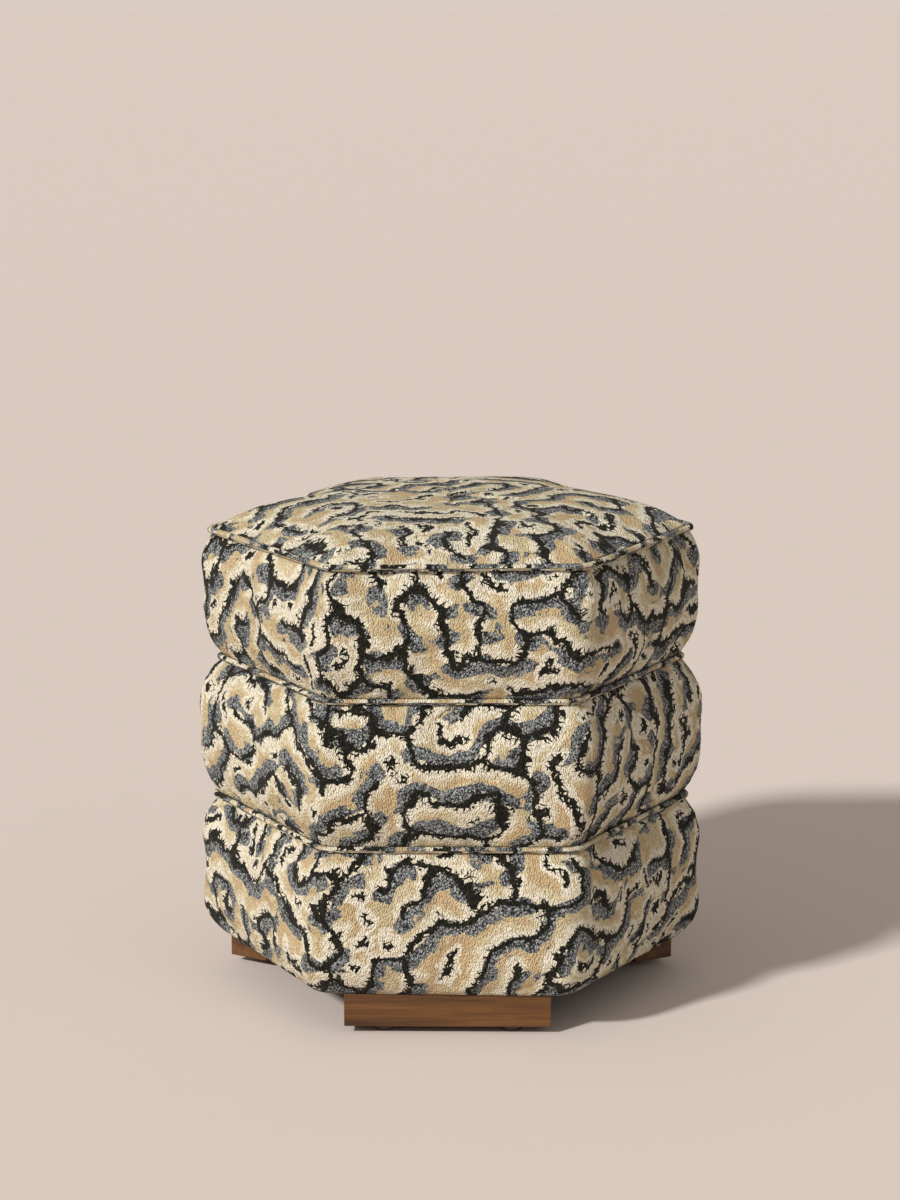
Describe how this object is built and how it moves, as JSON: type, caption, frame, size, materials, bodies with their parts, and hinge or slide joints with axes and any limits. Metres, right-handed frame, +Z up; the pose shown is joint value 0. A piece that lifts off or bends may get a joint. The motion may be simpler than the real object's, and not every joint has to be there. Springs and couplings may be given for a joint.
{
  "type": "tuffet",
  "caption": "Hexagonal upholstered tuffet with three padded, welted tiers and a domed seat, standing on wooden plinth blocks.",
  "frame": {"origin": "on the floor under the centre line", "axes": "+Z up, a flat side with a plinth block faces -Y, +X to the right through a corner"},
  "size_m": [0.4634, 0.414, 0.4575],
  "materials": {
    "upholstery": "woven jacquard, cream and sand ground with blue-grey and near-black figure",
    "walnut": "satin walnut stain",
    "glide_plastic": "dark brown plastic",
    "dust_cloth": "black non-woven",
    "plywood": "raw birch plywood",
    "pine": "raw planed pine",
    "foam": "open-cell polyurethane foam",
    "wadding": "polyester wadding",
    "cotton_cord": "braided cotton",
    "steel": "zinc-plated steel"
  },
  "bodies": {
    "root": {"plinth_block_front": "walnut", "glide_front_1": "glide_plastic", "glide_front_2": "glide_plastic", "plinth_block_back_right": "walnut", "glide_back_right_1": "glide_plastic", "glide_back_right_2": "glide_plastic", "plinth_block_back_left": "walnut", "glide_back_left_1": "glide_plastic", "glide_back_left_2": "glide_plastic", "glide_nails": "steel", "plinth_screws": "steel", "dust_cover": "dust_cloth", "dust_cover_staples": "steel", "base_board": "plywood", "deck_board": "plywood", "side_panel_back": "plywood", "side_panel_back_left": "plywood", "side_panel_front_left": "plywood", "side_panel_front": "plywood", "side_panel_front_right": "plywood", "side_panel_back_right": "plywood", "corner_block_right": "pine", "corner_block_back_right": "pine", "corner_block_back_left": "pine", "corner_block_left": "pine", "corner_block_front_left": "pine", "corner_block_front_right": "pine", "base_screws": "steel", "deck_screws": "steel", "foam_lower": "foam", "wadding_lower": "wadding", "cover_lower": "upholstery", "foam_middle": "foam", "wadding_middle": "wadding", "cover_middle": "upholstery", "foam_upper": "foam", "wadding_upper": "wadding", "cover_upper": "upholstery", "foam_seat": "foam", "wadding_seat": "wadding", "cover_seat": "upholstery", "welt_lower": "upholstery", "welt_cord_lower": "cotton_cord", "welt_upper": "upholstery", "welt_cord_upper": "cotton_cord", "welt_seat": "upholstery", "welt_cord_seat": "cotton_cord"}
  },
  "joints": []
}
